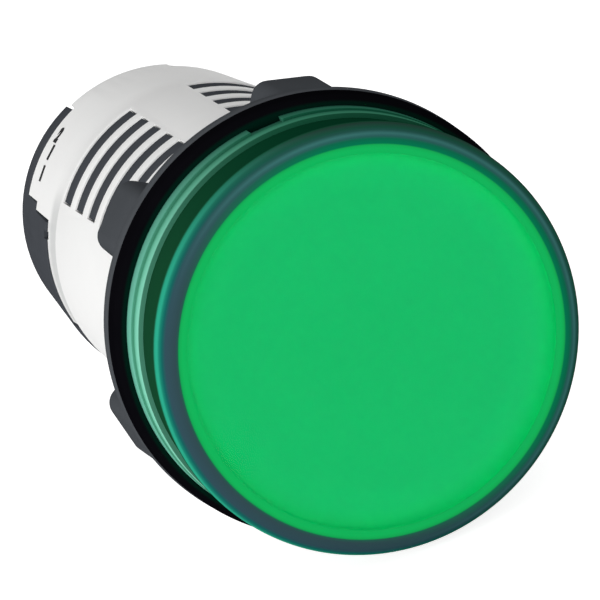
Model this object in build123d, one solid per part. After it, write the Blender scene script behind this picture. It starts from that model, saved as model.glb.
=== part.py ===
from build123d import *
import os

# Panel pilot light for a 22 mm hole, sizes in millimetres.
# The lamp's axis lies along Y. The lens looks along -Y and the terminals are at +Y.
# The origin is on the axis at the front face of the panel, +Z is the top mark of the lens.

os.makedirs("parts", exist_ok=True)


# The neck is made for the panel hole, and every other round size follows from it

neck_radius = 11.05
neck_length = 11.5
neck_wall = 1.15
neck_lead_in = 0.4

# Clearances

thread_clearance = 0.05
fit_clearance = 0.1
loose_clearance = 0.35
board_clearance = 0.15
side_clearance = 0.3
arc_clearance = 1.0

# Sizes of the head in front of the panel

gasket_thickness = 1.0
gasket_proud = 0.05
flange_overhang = 3.45
bezel_thickness = 2.1
bezel_edge_round = 0.7
collar_length = 5.3
collar_wall = 1.3
collar_gap = 0.45
seal_cord_radius = 0.45
seal_squeeze = 0.15

lens_reach = 8.9
lens_rim_recess = 0.5
lens_rim_overhang = 0.55
lens_rim_depth = 2.3
lens_edge_round = 1.2
lens_face_thickness = 1.1
lens_wall = 0.7
lens_rib_height = 0.35
lens_rib_width = 1.2
lens_rib_gap = 0.4
lens_rib_step = 0.05
lens_skirt_step = 0.15
lens_seat_depth = 0.9
lens_notch_angle = 9.6

diffuser_thickness = 0.9
diffuser_wall = 0.9

bezel_radius = neck_radius + flange_overhang
gasket_radius = bezel_radius + gasket_proud
neck_bore = neck_radius - neck_wall
neck_end_y = neck_length

lens_rim_radius = bezel_radius - lens_rim_recess
lens_wall_radius = lens_rim_radius - lens_rim_overhang
lens_rib_radius = lens_wall_radius + lens_rib_height
lens_skirt_radius = lens_wall_radius - lens_skirt_step
lens_bore = lens_wall_radius - lens_wall
collar_radius = lens_bore - collar_gap
collar_bore = collar_radius - collar_wall

# Sizes of the fixing nut

nut_thickness = 5.2
nut_wall = 1.55
nut_recess = 0.1
nut_lobe_count = 6
nut_lobe_tip_width = 4.4
nut_lobe_root_width = 5.3
nut_lobe_root_depth = 1.2
nut_lobe_spread = 0.6
nut_lobe_angle = 73.5
nut_edge_break = 0.35

nut_root_radius = neck_radius + nut_wall
nut_lobe_radius = bezel_radius - nut_recess

# Sizes of the white housing

housing_recess = 0.55
housing_wall = 1.1
housing_step = 0.2
housing_step_length = 0.5
barrel_length = 15.9
spigot_wall = 0.9
spigot_length = 5.0
slot_count = 5
slot_margin_front = 1.3
slot_margin_rear = 0.5
slot_share = 0.605
slot_arc = 42.5
slot_start_angle = 11.2
side_window_setback = 2.8
side_window_arc = 53.8
bottom_window_setback = 0.9
bottom_window_arc = 153.0
wing_length = 9.85
wing_step_setback = 7.0
wing_step_arc = 3.2
tongue_length = 11.1
tongue_arc = 42.0
tongue_proud = 0.37
tongue_wall = 0.8
snap_notch_width = 0.55
snap_notch_depth = 0.2
snap_notch_angle = 158.9
snap_pocket_length = 0.8
snap_pocket_depth = 0.7

housing_radius = neck_radius - housing_recess
housing_rear_radius = housing_radius - housing_step
barrel_bore = housing_radius - housing_wall
spigot_radius = neck_bore - fit_clearance
spigot_bore = spigot_radius - spigot_wall
housing_step_y = neck_end_y + barrel_length
side_window_y = housing_step_y + side_window_setback
bottom_window_y = housing_step_y + bottom_window_setback
wing_y = housing_step_y + wing_length
wing_step_y = housing_step_y + wing_step_setback
tongue_y = housing_step_y + tongue_length

# Sizes of the dark terminal block and its inner sleeve

block_recess = 0.1
block_end_step = 0.97
block_taper_setback = 3.1
block_floor_setback = 2.2
block_length = 12.8
block_edge_step = 0.2
sleeve_wall = 0.8
slot_rib_recess = 0.08
slot_rib_end_gap = 0.6

block_radius = housing_radius - block_recess
block_end_radius = block_radius - block_end_step
block_taper_y = housing_step_y + block_taper_setback
block_floor_y = housing_step_y + block_floor_setback
block_end_y = housing_step_y + block_length
tongue_bore = block_end_radius + tongue_proud - tongue_wall
sleeve_radius = barrel_bore - fit_clearance
sleeve_bore = sleeve_radius - sleeve_wall
sleeve_front_y = neck_end_y + housing_wall + fit_clearance

# Sizes of one screw terminal

terminal_share = 0.51
partition_share = 0.39
chamber_high_share = 0.39
chamber_low_share = 0.348
chamber_lip = 0.25
chamber_lip_depth = 0.4
contact_setback = 3.4
contact_thickness = 1.5
clamp_travel = 1.9
clamp_opening = 2.0
saddle_thickness = 1.2
saddle_corner = 0.5
saddle_groove = 0.3
saddle_groove_width = 0.5
screw_share = 0.6
screw_head_height = 1.9
screw_length = 4.8
screw_edge = 0.3
screw_slot_width = 0.7
screw_slot_depth = 0.9
screw_cross_length = 3.0
wire_hole_radius = 1.5
wire_funnel = 0.8
wire_funnel_depth = 2.6
strip_leg_width = 1.6
strip_leg_thickness = 0.6
strip_leg_reach = 1.8
strip_foot_length = 2.4

terminal_x = block_end_radius * terminal_share
chamber_width = 2 * terminal_x - block_end_radius * partition_share
chamber_high_z = block_end_radius * chamber_high_share
chamber_low_z = -block_end_radius * chamber_low_share
contact_y = block_floor_y + contact_setback
contact_width = chamber_width - 2 * side_clearance
contact_high_z = chamber_high_z - side_clearance - fit_clearance
contact_low_z = chamber_low_z + side_clearance + fit_clearance
saddle_width = chamber_width - 2 * loose_clearance
saddle_height = -2 * chamber_low_z - 3 * side_clearance
saddle_front_y = contact_y + contact_thickness + clamp_opening
saddle_rear_y = saddle_front_y + saddle_thickness
screw_head_radius = chamber_width / 2 - loose_clearance - thread_clearance
screw_radius = screw_head_radius * screw_share
screw_tip_y = saddle_rear_y - screw_length
wire_y = saddle_front_y - clamp_opening / 2
leg_high_z = contact_high_z
leg_low_z = leg_high_z - strip_leg_thickness

# Sizes of the lamp and its circuit

led_board_thickness = 1.6
led_board_recess = 1.1
led_circle_share = 0.47
led_count = 4
led_width = 3.5
led_depth = 2.8
led_height = 1.9
led_edge = 0.25
led_well_wall = 0.35
led_well_depth = 0.25
driver_thickness = 1.6
driver_gap = 1.1
driver_groove = 0.7
link_wire_radius = 0.4
link_wire_share = 1.35
link_reach_front = 0.6
link_reach_rear = 4.0
lead_radius = 0.35
lead_reach = 2.2
resistor_lift = 0.3
capacitor_lead_x = 1.0
capacitor_lead_reach = 1.2
absorber_lift = 0.6
absorber_lead_x = 2.0
absorber_lead_length = 3.0
part_edge = 0.5

flange_back_y = -gasket_thickness
flange_front_y = flange_back_y - bezel_thickness
led_board_radius = collar_bore - 2 * fit_clearance
led_board_seat_y = flange_front_y + led_board_recess
led_board_front_y = led_board_seat_y - led_board_thickness
led_circle_radius = collar_bore * led_circle_share
link_wire_x = led_circle_radius * link_wire_share
driver_front_y = led_board_seat_y + driver_gap
driver_rear_y = block_floor_y + driver_groove
driver_length = driver_rear_y - driver_front_y
driver_width = 2 * (sleeve_bore - side_clearance)
driver_top_z = driver_thickness / 2
driver_low_z = -driver_thickness / 2
resistor_radius = driver_width * 0.116
resistor_length = driver_length * 0.3
resistor_x = driver_width * 0.2
resistor_y = driver_front_y + driver_length * 0.52
rectifier_width = driver_width * 0.39
rectifier_length = driver_length * 0.26
rectifier_height = driver_width * 0.16
rectifier_y = driver_front_y + driver_length * 0.313
capacitor_radius = driver_width * 0.152
capacitor_length = driver_length * 0.348
capacitor_y = driver_front_y + driver_length * 0.677
absorber_radius = driver_width * 0.213
absorber_thickness = driver_length * 0.1
absorber_y = driver_front_y + driver_length * 0.206


def turned(points):
    outline = make_face(Polyline(*points, close=True))
    return revolve(outline, axis=Axis.Y, revolution_arc=360)


def rod(radius, y_from, y_to, x=0, z=0):
    return Pos(x, (y_from + y_to) / 2, z) * Rot(90, 0, 0) * Cylinder(radius, y_to - y_from)


def chamfered_rod(radius, y_from, y_to, edge, x=0, z=0):
    # A round part with its end edges broken at 45 degrees
    return Pos(x, 0, z) * turned([(0, y_from), (radius - edge, y_from), (radius, y_from + edge),
                                  (radius, y_to - edge), (radius - edge, y_to), (0, y_to)])


def block(x_from, x_to, y_from, y_to, z_from, z_to):
    centre = Pos((x_from + x_to) / 2, (y_from + y_to) / 2, (z_from + z_to) / 2)
    return centre * Box(x_to - x_from, y_to - y_from, z_to - z_from)


def turned_to(angle, shape):
    # The angle is counted from +X towards +Z, as seen from the front
    return Rot(0, -angle, 0) * shape


def wedge(middle_angle, arc, y_from, y_to):
    # A slice of a wide disc that covers one arc of the round body
    reach = 2 * bezel_radius
    corners = [Vector(reach, 0).rotate(Axis.Z, arc * share) for share in (-0.5, -0.25, 0, 0.25, 0.5)]
    slice_ = extrude(Plane.XZ * make_face(Polyline((0, 0), *corners, close=True)), amount=y_to - y_from)
    return turned_to(middle_angle, Pos(0, y_to - slice_.bounding_box().max.Y, 0) * slice_)


pieces = {}


# Black bezel: flange, front collar and neck in one moulding. The neck's thread is too fine to model here

collar_front_y = flange_front_y - collar_length
lens_seat_y = flange_front_y + lens_seat_depth
rib_back_y = flange_front_y
seal_y = rib_back_y - lens_rib_width - lens_rib_gap
seal_groove_radius = lens_bore - 2 * seal_cord_radius + seal_squeeze

pieces["bezel"] = turned([
    (neck_bore, neck_end_y),
    (neck_radius - neck_lead_in, neck_end_y),
    (neck_radius, neck_end_y - neck_lead_in),
    (neck_radius, flange_back_y),
    (bezel_radius, flange_back_y),
    (bezel_radius, flange_front_y),
    (lens_skirt_radius + fit_clearance, flange_front_y),
    (lens_skirt_radius + fit_clearance, lens_seat_y),
    (collar_radius, lens_seat_y),
    (collar_radius, seal_y + seal_cord_radius),
    (seal_groove_radius, seal_y + seal_cord_radius),
    (seal_groove_radius, seal_y - seal_cord_radius),
    (collar_radius, seal_y - seal_cord_radius),
    (collar_radius, collar_front_y),
    (collar_bore, collar_front_y),
    (collar_bore, led_board_seat_y),
    (neck_bore, led_board_seat_y),
])
bezel_edge = pieces["bezel"].edges().filter_by(GeomType.CIRCLE).filter_by(
    lambda e: abs(e.radius - bezel_radius) < 0.01 and abs(e.center().Y - flange_front_y) < 0.01)
pieces["bezel"] = fillet(bezel_edge, bezel_edge_round)


# Soft ring between the bezel and the panel

pieces["panel_gasket"] = turned([
    (neck_radius + fit_clearance, flange_back_y),
    (gasket_radius, flange_back_y),
    (gasket_radius, 0),
    (neck_radius + fit_clearance, 0),
])


# Cord seal in the groove of the collar

seal_middle = seal_groove_radius + seal_cord_radius - seal_squeeze / 2
seal_section = Plane.XY * Pos(seal_middle, seal_y) * RegularPolygon(
    seal_cord_radius - seal_squeeze / 2, 8, major_radius=False, rotation=22.5)
pieces["lens_seal"] = revolve(seal_section, axis=Axis.Y, revolution_arc=360)


# Green lens: face, rim, wall and two ribs, with a notch in the rear rib for the tool

lens_front_y = flange_front_y - lens_reach
rim_back_y = lens_front_y + lens_rim_depth
face_back_y = lens_front_y + lens_face_thickness
rib_one_y = rib_back_y - lens_rib_width
rib_two_y = rib_one_y - lens_rib_gap
rib_end_y = rib_two_y - lens_rib_width

lens = turned([
    (0, lens_front_y),
    (lens_rim_radius, lens_front_y),
    (lens_rim_radius, rim_back_y - lens_rim_overhang),
    (lens_wall_radius, rim_back_y),
    (lens_wall_radius, rib_end_y),
    (lens_rib_radius - lens_rib_step, rib_end_y),
    (lens_rib_radius - lens_rib_step, rib_two_y),
    (lens_wall_radius, rib_two_y),
    (lens_wall_radius, rib_one_y),
    (lens_rib_radius, rib_one_y),
    (lens_rib_radius, rib_back_y),
    (lens_skirt_radius, rib_back_y),
    (lens_skirt_radius, lens_seat_y),
    (lens_bore, lens_seat_y),
    (lens_bore, face_back_y),
    (0, face_back_y),
])
front_edge = lens.edges().filter_by(GeomType.CIRCLE).filter_by(
    lambda e: abs(e.radius - lens_rim_radius) < 0.01 and abs(e.center().Y - lens_front_y) < 0.01)
lens = fillet(front_edge, lens_edge_round)
notch = wedge(90, lens_notch_angle, rib_one_y, rib_back_y)
lens -= notch - rod(lens_wall_radius, rib_one_y - 1, rib_back_y + 1)
pieces["lens"] = lens


# Diffuser cup behind the face of the lens, standing on the front of the collar

diffuser_radius = lens_bore - fit_clearance
pieces["diffuser"] = turned([
    (0, face_back_y),
    (diffuser_radius, face_back_y),
    (diffuser_radius, collar_front_y),
    (diffuser_radius - diffuser_wall, collar_front_y),
    (diffuser_radius - diffuser_wall, face_back_y + diffuser_thickness),
    (0, face_back_y + diffuser_thickness),
])


# Fixing nut with grip lobes, running on the threaded neck

lobe_foot = nut_root_radius - nut_lobe_root_depth
lobe_shoulder = nut_root_radius + fit_clearance
lobe_half_root = nut_lobe_root_width / 2
lobe_half_foot = lobe_half_root + nut_lobe_spread
lobe_half_tip = nut_lobe_tip_width / 2
lobe = Plane.XZ * make_face(
    Polyline(
        (lobe_foot, -lobe_half_foot),
        (lobe_shoulder, -lobe_half_root),
        (nut_lobe_radius, -lobe_half_tip),
        (nut_lobe_radius, lobe_half_tip),
        (lobe_shoulder, lobe_half_root),
        (lobe_foot, lobe_half_foot),
        close=True,
    )
)
lobe = extrude(lobe, amount=-nut_thickness)
tip_edges = lobe.edges().filter_by(Axis.Y).filter_by(lambda e: e.center().X > nut_lobe_radius - 0.1)
lobe = fillet(tip_edges, nut_lobe_tip_width / 4)
nut = rod(nut_root_radius, 0, nut_thickness)
for number in range(nut_lobe_count):
    nut += turned_to(nut_lobe_angle + number * 360 / nut_lobe_count, lobe)
rear_edges = nut.faces().sort_by(Axis.Y)[-1].edges()
nut = chamfer(rear_edges, nut_edge_break)
nut -= rod(neck_radius + thread_clearance, -1, nut_thickness + 1)
pieces["fixing_nut"] = nut


# White housing: spigot in the neck, slotted barrel and a stepped rear edge

spigot_front_y = neck_end_y - spigot_length
housing = turned([
    (spigot_bore, spigot_front_y),
    (spigot_radius, spigot_front_y),
    (spigot_radius, neck_end_y),
    (housing_radius, neck_end_y),
    (housing_radius, housing_step_y),
    (housing_rear_radius, housing_step_y + housing_step_length),
    (housing_rear_radius, side_window_y),
    (block_end_radius + tongue_proud, tongue_y),
    (tongue_bore, tongue_y),
    (barrel_bore, block_taper_y),
    (barrel_bore, neck_end_y + housing_wall),
    (spigot_bore, neck_end_y + housing_wall / 2),
])

far_y = block_end_y + block_length
behind_wings = rod(2 * housing_radius, wing_y, far_y)
housing -= behind_wings - wedge(90, tongue_arc, side_window_y, far_y + 1)
for side in (0, 180):
    housing -= wedge(side, side_window_arc, side_window_y, far_y)
    housing -= wedge(side, side_window_arc + 2 * wing_step_arc, wing_step_y, far_y)
housing -= wedge(270, bottom_window_arc, bottom_window_y, far_y)
for angle in (snap_notch_angle, 180 - snap_notch_angle):
    notch_box = block(spigot_bore, bezel_radius, side_window_y - snap_notch_depth, far_y,
                      -snap_notch_width / 2, snap_notch_width / 2)
    housing -= turned_to(angle, notch_box)

slot_first_y = neck_end_y + slot_margin_front
slot_last_y = housing_step_y - slot_margin_rear
slot_pitch = (slot_last_y - slot_first_y) / (slot_count - 1 + slot_share)
slot_width = slot_pitch * slot_share
slot_middle = 90 + slot_start_angle + slot_arc / 2
slot_places = [(angle, slot_last_y - number * slot_pitch)
               for number in range(slot_count) for angle in (slot_middle, 180 - slot_middle)]
for angle, slot_rear in slot_places:
    housing -= wedge(angle, slot_arc, slot_rear - slot_width, slot_rear)
pieces["housing"] = housing


# Dark terminal block with the sleeve that fills the housing behind its slots

core = turned([
    (0, block_floor_y),
    (sleeve_bore, block_floor_y),
    (sleeve_bore, sleeve_front_y),
    (sleeve_radius, sleeve_front_y),
    (sleeve_radius, block_taper_y),
    (tongue_bore - fit_clearance, tongue_y),
    (tongue_bore - fit_clearance, block_end_y),
    (0, block_end_y),
])
skin_front_y = bottom_window_y + fit_clearance
skin = turned([
    (sleeve_bore, skin_front_y),
    (block_radius - block_edge_step, skin_front_y),
    (block_radius, skin_front_y + block_edge_step),
    (block_radius, block_taper_y),
    (block_end_radius, block_end_y),
    (sleeve_bore / 2, block_end_y),
    (sleeve_bore, block_floor_y),
])
full_wing_arc = 180 - side_window_arc
short_wing_arc = full_wing_arc - 2 * wing_step_arc
hidden = rod(2 * block_radius, bottom_window_y, side_window_y + fit_clearance)
hidden -= wedge(270, bottom_window_arc - 2 * arc_clearance, 0, far_y)
for arc, y_to in ((full_wing_arc, wing_step_y), (short_wing_arc, wing_y), (tongue_arc, far_y)):
    hidden += wedge(90, arc + 2 * arc_clearance, bottom_window_y, y_to + fit_clearance)
terminal_block = core + (skin - hidden)

rib_tube = rod(housing_radius - slot_rib_recess, sleeve_front_y, housing_step_y)
rib_tube -= rod(sleeve_radius - sleeve_wall / 2, sleeve_front_y - 1, housing_step_y + 1)
for angle, slot_rear in slot_places:
    terminal_block += rib_tube & wedge(angle, slot_arc - 2 * slot_rib_end_gap,
                                       slot_rear - slot_width + fit_clearance, slot_rear - fit_clearance)
for angle in (snap_notch_angle, 180 - snap_notch_angle):
    pocket = block(block_radius - snap_pocket_depth, bezel_radius, bottom_window_y,
                   side_window_y + snap_pocket_length, -snap_notch_width / 2, snap_notch_width / 2)
    terminal_block -= turned_to(angle, pocket)

for side in (-1, 1):
    x = side * terminal_x
    half_width = chamber_width / 2
    half_leg = strip_leg_width / 2 + 2 * fit_clearance
    terminal_block -= block(x - half_width, x + half_width, contact_y, far_y, chamber_low_z, chamber_high_z)
    terminal_block -= block(x - half_width - chamber_lip, x + half_width + chamber_lip,
                            block_end_y - chamber_lip_depth, far_y,
                            chamber_low_z - chamber_lip, chamber_high_z + chamber_lip)
    terminal_block -= rod(screw_radius + loose_clearance, screw_tip_y - clamp_travel - 2 * fit_clearance,
                          contact_y + 1, x, 0)
    hole_length = block_radius + chamber_low_z + 1
    terminal_block -= Pos(x, wire_y, chamber_low_z + 1 - hole_length / 2) * Cylinder(
        wire_hole_radius, hole_length)
    terminal_block -= Pos(x, wire_y, wire_funnel_depth / 2 - block_radius) * Cone(
        wire_hole_radius + wire_funnel, wire_hole_radius, wire_funnel_depth)
    terminal_block -= block(x - half_leg, x + half_leg, block_floor_y - 1, contact_y + 1,
                            leg_low_z - 2 * fit_clearance, leg_high_z + 2 * fit_clearance)
terminal_block -= block(-driver_width / 2 - thread_clearance, driver_width / 2 + thread_clearance,
                        block_floor_y - 1, driver_rear_y, driver_low_z, driver_top_z)
pieces["terminal_block"] = terminal_block


# Two screw terminals: fixed contact strip, clamp saddle and captive screw

for name, side in (("left", -1), ("right", 1)):
    x = side * terminal_x
    half_leg = strip_leg_width / 2
    contact_rear_y = contact_y + contact_thickness
    strip = block(x - contact_width / 2, x + contact_width / 2, contact_y, contact_rear_y,
                  contact_low_z, contact_high_z)
    strip -= rod(screw_radius + thread_clearance, contact_y - 1, contact_rear_y + 1, x, 0)
    leg_front_y = block_floor_y - strip_leg_reach
    strip += block(x - half_leg, x + half_leg, leg_front_y, contact_y, leg_low_z, leg_high_z)
    strip += block(x - half_leg, x + half_leg, leg_front_y, leg_front_y + strip_leg_thickness,
                   driver_top_z, leg_high_z)
    strip += block(x - half_leg, x + half_leg, leg_front_y - strip_foot_length,
                   leg_front_y + strip_leg_thickness, driver_top_z, driver_top_z + strip_leg_thickness)
    pieces["contact_strip_" + name] = strip

    saddle = block(x - saddle_width / 2, x + saddle_width / 2, saddle_front_y, saddle_rear_y,
                   -saddle_height / 2, saddle_height / 2)
    saddle = chamfer(saddle.edges().filter_by(Axis.Y), saddle_corner)
    saddle -= rod(screw_radius + thread_clearance, saddle_front_y - 1, saddle_rear_y + 1, x, 0)
    groove_z = (screw_radius + saddle_height / 2) / 2 - thread_clearance
    for middle_z in (-groove_z, groove_z):
        saddle -= block(x - saddle_width, x + saddle_width, saddle_front_y - 1,
                        saddle_front_y + saddle_groove,
                        middle_z - saddle_groove_width / 2, middle_z + saddle_groove_width / 2)
    pieces["clamp_saddle_" + name] = saddle

    head_rear_y = saddle_rear_y + screw_head_height
    screw = Pos(x, 0, 0) * turned([
        (0, screw_tip_y),
        (screw_radius - screw_edge, screw_tip_y),
        (screw_radius, screw_tip_y + screw_edge),
        (screw_radius, saddle_rear_y),
        (screw_head_radius, saddle_rear_y),
        (screw_head_radius, head_rear_y - screw_edge),
        (screw_head_radius - screw_edge, head_rear_y),
        (0, head_rear_y),
    ])
    slot_floor_y = head_rear_y - screw_slot_depth
    screw -= block(x - screw_slot_width / 2, x + screw_slot_width / 2, slot_floor_y, head_rear_y + 1,
                   -2 * screw_head_radius, 2 * screw_head_radius)
    screw -= block(x - screw_cross_length / 2, x + screw_cross_length / 2, slot_floor_y, head_rear_y + 1,
                   -screw_slot_width / 2, screw_slot_width / 2)
    pieces["terminal_screw_" + name] = screw


# Round board with the light sources, on the ledge inside the collar

led_board = rod(led_board_radius, led_board_front_y, led_board_seat_y)
for side in (-1, 1):
    led_board -= rod(link_wire_radius + board_clearance, led_board_front_y - 1, led_board_seat_y + 1,
                     side * link_wire_x, driver_top_z + link_wire_radius)
pieces["led_board"] = led_board

led_front_y = led_board_front_y - led_height
for number in range(led_count):
    chip = block(led_circle_radius - led_width / 2, led_circle_radius + led_width / 2,
                 led_front_y, led_board_front_y, -led_depth / 2, led_depth / 2)
    chip = chamfer(chip.faces().sort_by(Axis.Y)[0].edges(), led_edge)
    chip -= rod(led_depth / 2 - led_well_wall, led_front_y - 1, led_front_y + led_well_depth,
                led_circle_radius, 0)
    pieces["led_" + str(number + 1)] = turned_to((number + 0.5) * 360 / led_count, chip)


# Driver board along the axis, its rear end in the groove of the terminal block

pieces["driver_board"] = block(-driver_width / 2, driver_width / 2, driver_front_y, driver_rear_y,
                               driver_low_z, driver_top_z)

for name, side in (("left", -1), ("right", 1)):
    pieces["board_link_" + name] = rod(link_wire_radius, led_board_front_y - link_reach_front,
                                       driver_front_y + link_reach_rear,
                                       side * link_wire_x, driver_top_z + link_wire_radius)

    x = side * resistor_x
    z = driver_top_z + resistor_radius + resistor_lift
    resistor = chamfered_rod(resistor_radius, resistor_y - resistor_length / 2,
                             resistor_y + resistor_length / 2, part_edge, x, z)
    for end in (-1, 1):
        lead_y = resistor_y + end * (resistor_length + lead_reach) / 2
        leg_top_z = z + lead_radius
        resistor += rod(lead_radius, min(resistor_y, lead_y), max(resistor_y, lead_y), x, z)
        resistor += Pos(x, lead_y, (leg_top_z + driver_top_z) / 2) * Cylinder(
            lead_radius, leg_top_z - driver_top_z)
    pieces["dropper_resistor_" + name] = resistor

rectifier = block(-rectifier_width / 2, rectifier_width / 2, rectifier_y - rectifier_length / 2,
                  rectifier_y + rectifier_length / 2, driver_low_z - rectifier_height, driver_low_z)
pieces["rectifier"] = chamfer(rectifier.faces().sort_by(Axis.Z)[0].edges(), part_edge)

capacitor_z = driver_low_z - capacitor_radius
capacitor_front_y = capacitor_y - capacitor_length / 2
capacitor = chamfered_rod(capacitor_radius, capacitor_front_y, capacitor_y + capacitor_length / 2,
                          part_edge, 0, capacitor_z)
for side in (-1, 1):
    lead_x = side * capacitor_lead_x
    lead_y = capacitor_front_y - capacitor_lead_reach
    leg_low = capacitor_z - lead_radius
    capacitor += rod(lead_radius, lead_y, capacitor_y, lead_x, capacitor_z)
    capacitor += Pos(lead_x, lead_y, (leg_low + driver_low_z) / 2) * Cylinder(
        lead_radius, driver_low_z - leg_low)
pieces["smoothing_capacitor"] = capacitor

absorber = chamfered_rod(absorber_radius, absorber_y - absorber_thickness / 2,
                         absorber_y + absorber_thickness / 2, 2 * part_edge,
                         0, driver_top_z + absorber_radius + absorber_lift)
for side in (-1, 1):
    absorber += Pos(side * absorber_lead_x, absorber_y, driver_top_z + absorber_lead_length / 2) * Cylinder(
        lead_radius, absorber_lead_length)
pieces["surge_absorber"] = absorber


for name, shape in pieces.items():
    export_step(shape, "parts/" + name + ".step")
    print(name, len(shape.solids()), round(shape.volume, 2), shape.is_valid)
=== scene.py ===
import math

import bpy
from mathutils import Matrix, Vector


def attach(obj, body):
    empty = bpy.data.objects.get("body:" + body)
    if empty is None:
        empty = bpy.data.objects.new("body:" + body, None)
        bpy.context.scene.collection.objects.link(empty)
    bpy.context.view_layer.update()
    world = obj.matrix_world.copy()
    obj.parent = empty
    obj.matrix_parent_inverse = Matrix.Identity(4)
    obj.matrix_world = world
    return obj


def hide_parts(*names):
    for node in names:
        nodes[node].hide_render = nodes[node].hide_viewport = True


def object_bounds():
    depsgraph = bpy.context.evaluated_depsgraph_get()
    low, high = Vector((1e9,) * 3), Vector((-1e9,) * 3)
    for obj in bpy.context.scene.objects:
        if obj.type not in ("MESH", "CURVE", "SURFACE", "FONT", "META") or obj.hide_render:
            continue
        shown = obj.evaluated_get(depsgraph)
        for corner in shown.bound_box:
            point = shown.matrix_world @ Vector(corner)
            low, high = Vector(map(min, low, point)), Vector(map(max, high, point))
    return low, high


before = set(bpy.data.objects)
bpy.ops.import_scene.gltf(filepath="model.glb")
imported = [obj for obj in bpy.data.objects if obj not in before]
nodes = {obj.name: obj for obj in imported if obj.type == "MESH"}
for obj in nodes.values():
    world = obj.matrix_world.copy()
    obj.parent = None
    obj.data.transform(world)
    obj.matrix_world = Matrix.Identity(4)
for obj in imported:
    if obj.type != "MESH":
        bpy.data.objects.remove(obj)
cad_low, cad_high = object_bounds()
mm = 0.001


# The room
# The lamp lies on a plain white table under soft lights and an even sky.
# The camera is a long lens, turned a little about its own axis as in the photograph.

scene = bpy.context.scene
scene.view_settings.view_transform = "Standard"

camera_place = Vector((-176.737, -900.371, 249.797)) * mm
camera_right = Vector((0.90211, -0.26913, -0.33729))
camera_up = Vector((0.38993, 0.17369, 0.90432))
camera_back = camera_right.cross(camera_up).normalized()
camera_data = bpy.data.cameras.new("camera")
camera_data.sensor_width = 36
camera_data.lens = 887.14
camera_data.clip_start = 0.05
camera_data.clip_end = 20
camera = bpy.data.objects.new("camera", camera_data)
camera.matrix_world = Matrix.Translation(camera_place) @ Matrix(
    (camera_right, camera_up, camera_back)).transposed().to_4x4()
scene.collection.objects.link(camera)
scene.camera = camera


def paint(name):
    """A new material: its nodes, its links and its main shader."""
    material = bpy.data.materials.new(name)
    material.use_nodes = True
    tree = material.node_tree
    return material, tree.nodes, tree.links, tree.nodes["Principled BSDF"]


def light_seen(tree):
    """1 for what the eye, a gloss or a clear part sees directly, 0 for light that falls on a surface."""
    path = tree.nodes.new("ShaderNodeLightPath")
    glossy = tree.nodes.new("ShaderNodeMath")
    glossy.operation = "MAXIMUM"
    seen = tree.nodes.new("ShaderNodeMath")
    seen.operation = "MAXIMUM"
    tree.links.new(path.outputs["Is Glossy Ray"], glossy.inputs[0])
    tree.links.new(path.outputs["Is Transmission Ray"], glossy.inputs[1])
    tree.links.new(path.outputs["Is Camera Ray"], seen.inputs[0])
    tree.links.new(glossy.outputs[0], seen.inputs[1])
    return seen.outputs[0]


sky = bpy.data.worlds.new("sky")
scene.world = sky
sky.use_nodes = True
sky_glow = sky.node_tree.nodes["Background"]
sky_glow.inputs["Color"].default_value = (1, 1, 1, 1)
sky_strength = sky.node_tree.nodes.new("ShaderNodeMapRange")
sky_strength.inputs["To Min"].default_value = 0.5
sky_strength.inputs["To Max"].default_value = 1.0
sky.node_tree.links.new(light_seen(sky.node_tree), sky_strength.inputs["Value"])
sky.node_tree.links.new(sky_strength.outputs["Result"], sky_glow.inputs["Strength"])

bpy.ops.object.select_all(action="DESELECT")
bpy.ops.mesh.primitive_plane_add(size=3, location=(0, 0, cad_low.z))
table_top = bpy.context.object
table_top.name = "table_top"
table_paint, table_nodes, table_links, table_shader = paint("table_white")
table_shader.inputs["Base Color"].default_value = (0.8, 0.8, 0.8, 1)
table_shader.inputs["Roughness"].default_value = 0.9
table_shader.inputs["Specular IOR Level"].default_value = 0.1
table_glow = table_nodes.new("ShaderNodeEmission")
table_glow.inputs["Color"].default_value = (1, 1, 1, 1)
table_lift = table_nodes.new("ShaderNodeMath")
table_lift.operation = "MULTIPLY"
table_lift.inputs[1].default_value = 0.8
table_links.new(light_seen(table_paint.node_tree), table_lift.inputs[0])
table_links.new(table_lift.outputs[0], table_glow.inputs["Strength"])
table_sum = table_nodes.new("ShaderNodeAddShader")
table_links.new(table_shader.outputs[0], table_sum.inputs[0])
table_links.new(table_glow.outputs[0], table_sum.inputs[1])
table_links.new(table_sum.outputs[0], table_nodes["Material Output"].inputs["Surface"])
table_top.data.materials.append(table_paint)


def soft_light(name, place, power):
    """A square softbox of half a metre that faces the lamp."""
    data = bpy.data.lights.new(name, "AREA")
    data.size = 0.5
    data.energy = power
    light = bpy.data.objects.new(name, data)
    light.location = place
    light.rotation_mode = "QUATERNION"
    light.rotation_quaternion = (-Vector(place)).to_track_quat("-Z", "Y")
    light.visible_glossy = False
    scene.collection.objects.link(light)


soft_light("softbox_left", (-0.72, -0.25, 0.06), power=4.6)
soft_light("softbox_front", (-0.15, -0.75, 0.15), power=2.2)


# Bezel
# The black flange that shows in front of the panel, with the collar that carries the lens and the
# threaded neck behind it. One injection moulding in black glass-filled plastic, fine satin. The neck
# goes through the hole of the panel, and its thread takes the fixing nut.

def new_point(name, place):
    """An object of one vertex, in edit mode, as the start of an outline. Its place is in mm."""
    bpy.ops.object.select_all(action="DESELECT")
    bpy.ops.mesh.primitive_plane_add(size=mm, location=(0, 0, 0))
    piece = bpy.context.object
    piece.name = name
    bpy.ops.object.mode_set(mode="EDIT")
    bpy.ops.mesh.merge(type="CENTER")
    bpy.ops.transform.translate(value=Vector(place) * mm)
    return piece


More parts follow.
